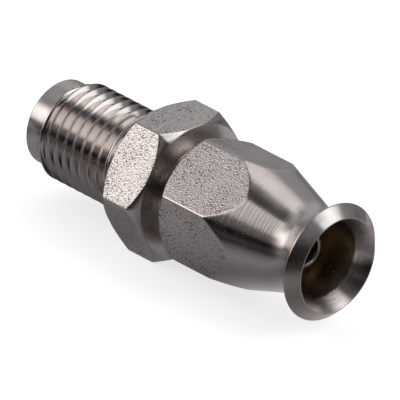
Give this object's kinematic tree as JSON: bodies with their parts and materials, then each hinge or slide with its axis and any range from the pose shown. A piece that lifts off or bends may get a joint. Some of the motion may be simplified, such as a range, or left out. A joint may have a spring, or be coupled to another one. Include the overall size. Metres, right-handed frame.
{
  "type": "brake hose fitting",
  "caption": "Reusable brake hose end: male threaded port, hexagon adapter body with inner nipple, loose brass olive, and a hexagon socket nut that tapers to a bell mouth.",
  "frame": {"origin": "on the long axis, where the male port thread meets the adapter's hexagon", "axes": "+X along the axis towards the hose, -X out of the port end, +Z square to a hexagon flat and up as the fitting lies"},
  "size_m": [0.0358, 0.0146, 0.0126],
  "materials": {
    "body_steel": "satin stainless steel, turned and blasted",
    "nut_steel": "satin stainless steel, turned and blasted",
    "olive_brass": "turned brass"
  },
  "bodies": {
    "adapter": {"adapter_body": "body_steel"},
    "olive": {"olive": "olive_brass"},
    "nut": {"socket_nut": "nut_steel"}
  },
  "joints": [
    {"name": "olive_travel", "type": "slide", "parent": "adapter", "child": "olive", "axis": [1, 0, 0], "range_m": [-0.001, 0.005]},
    {"name": "nut_turn", "type": "hinge", "parent": "olive", "child": "nut", "pos_m": [0.006, 0, 0], "axis": [1, 0, 0], "range_deg": [-341, 1702]}
  ],
  "couplings": [
    {"joint": "nut_turn", "follows": "olive_travel", "rad_per_m": 5936.9}
  ]
}
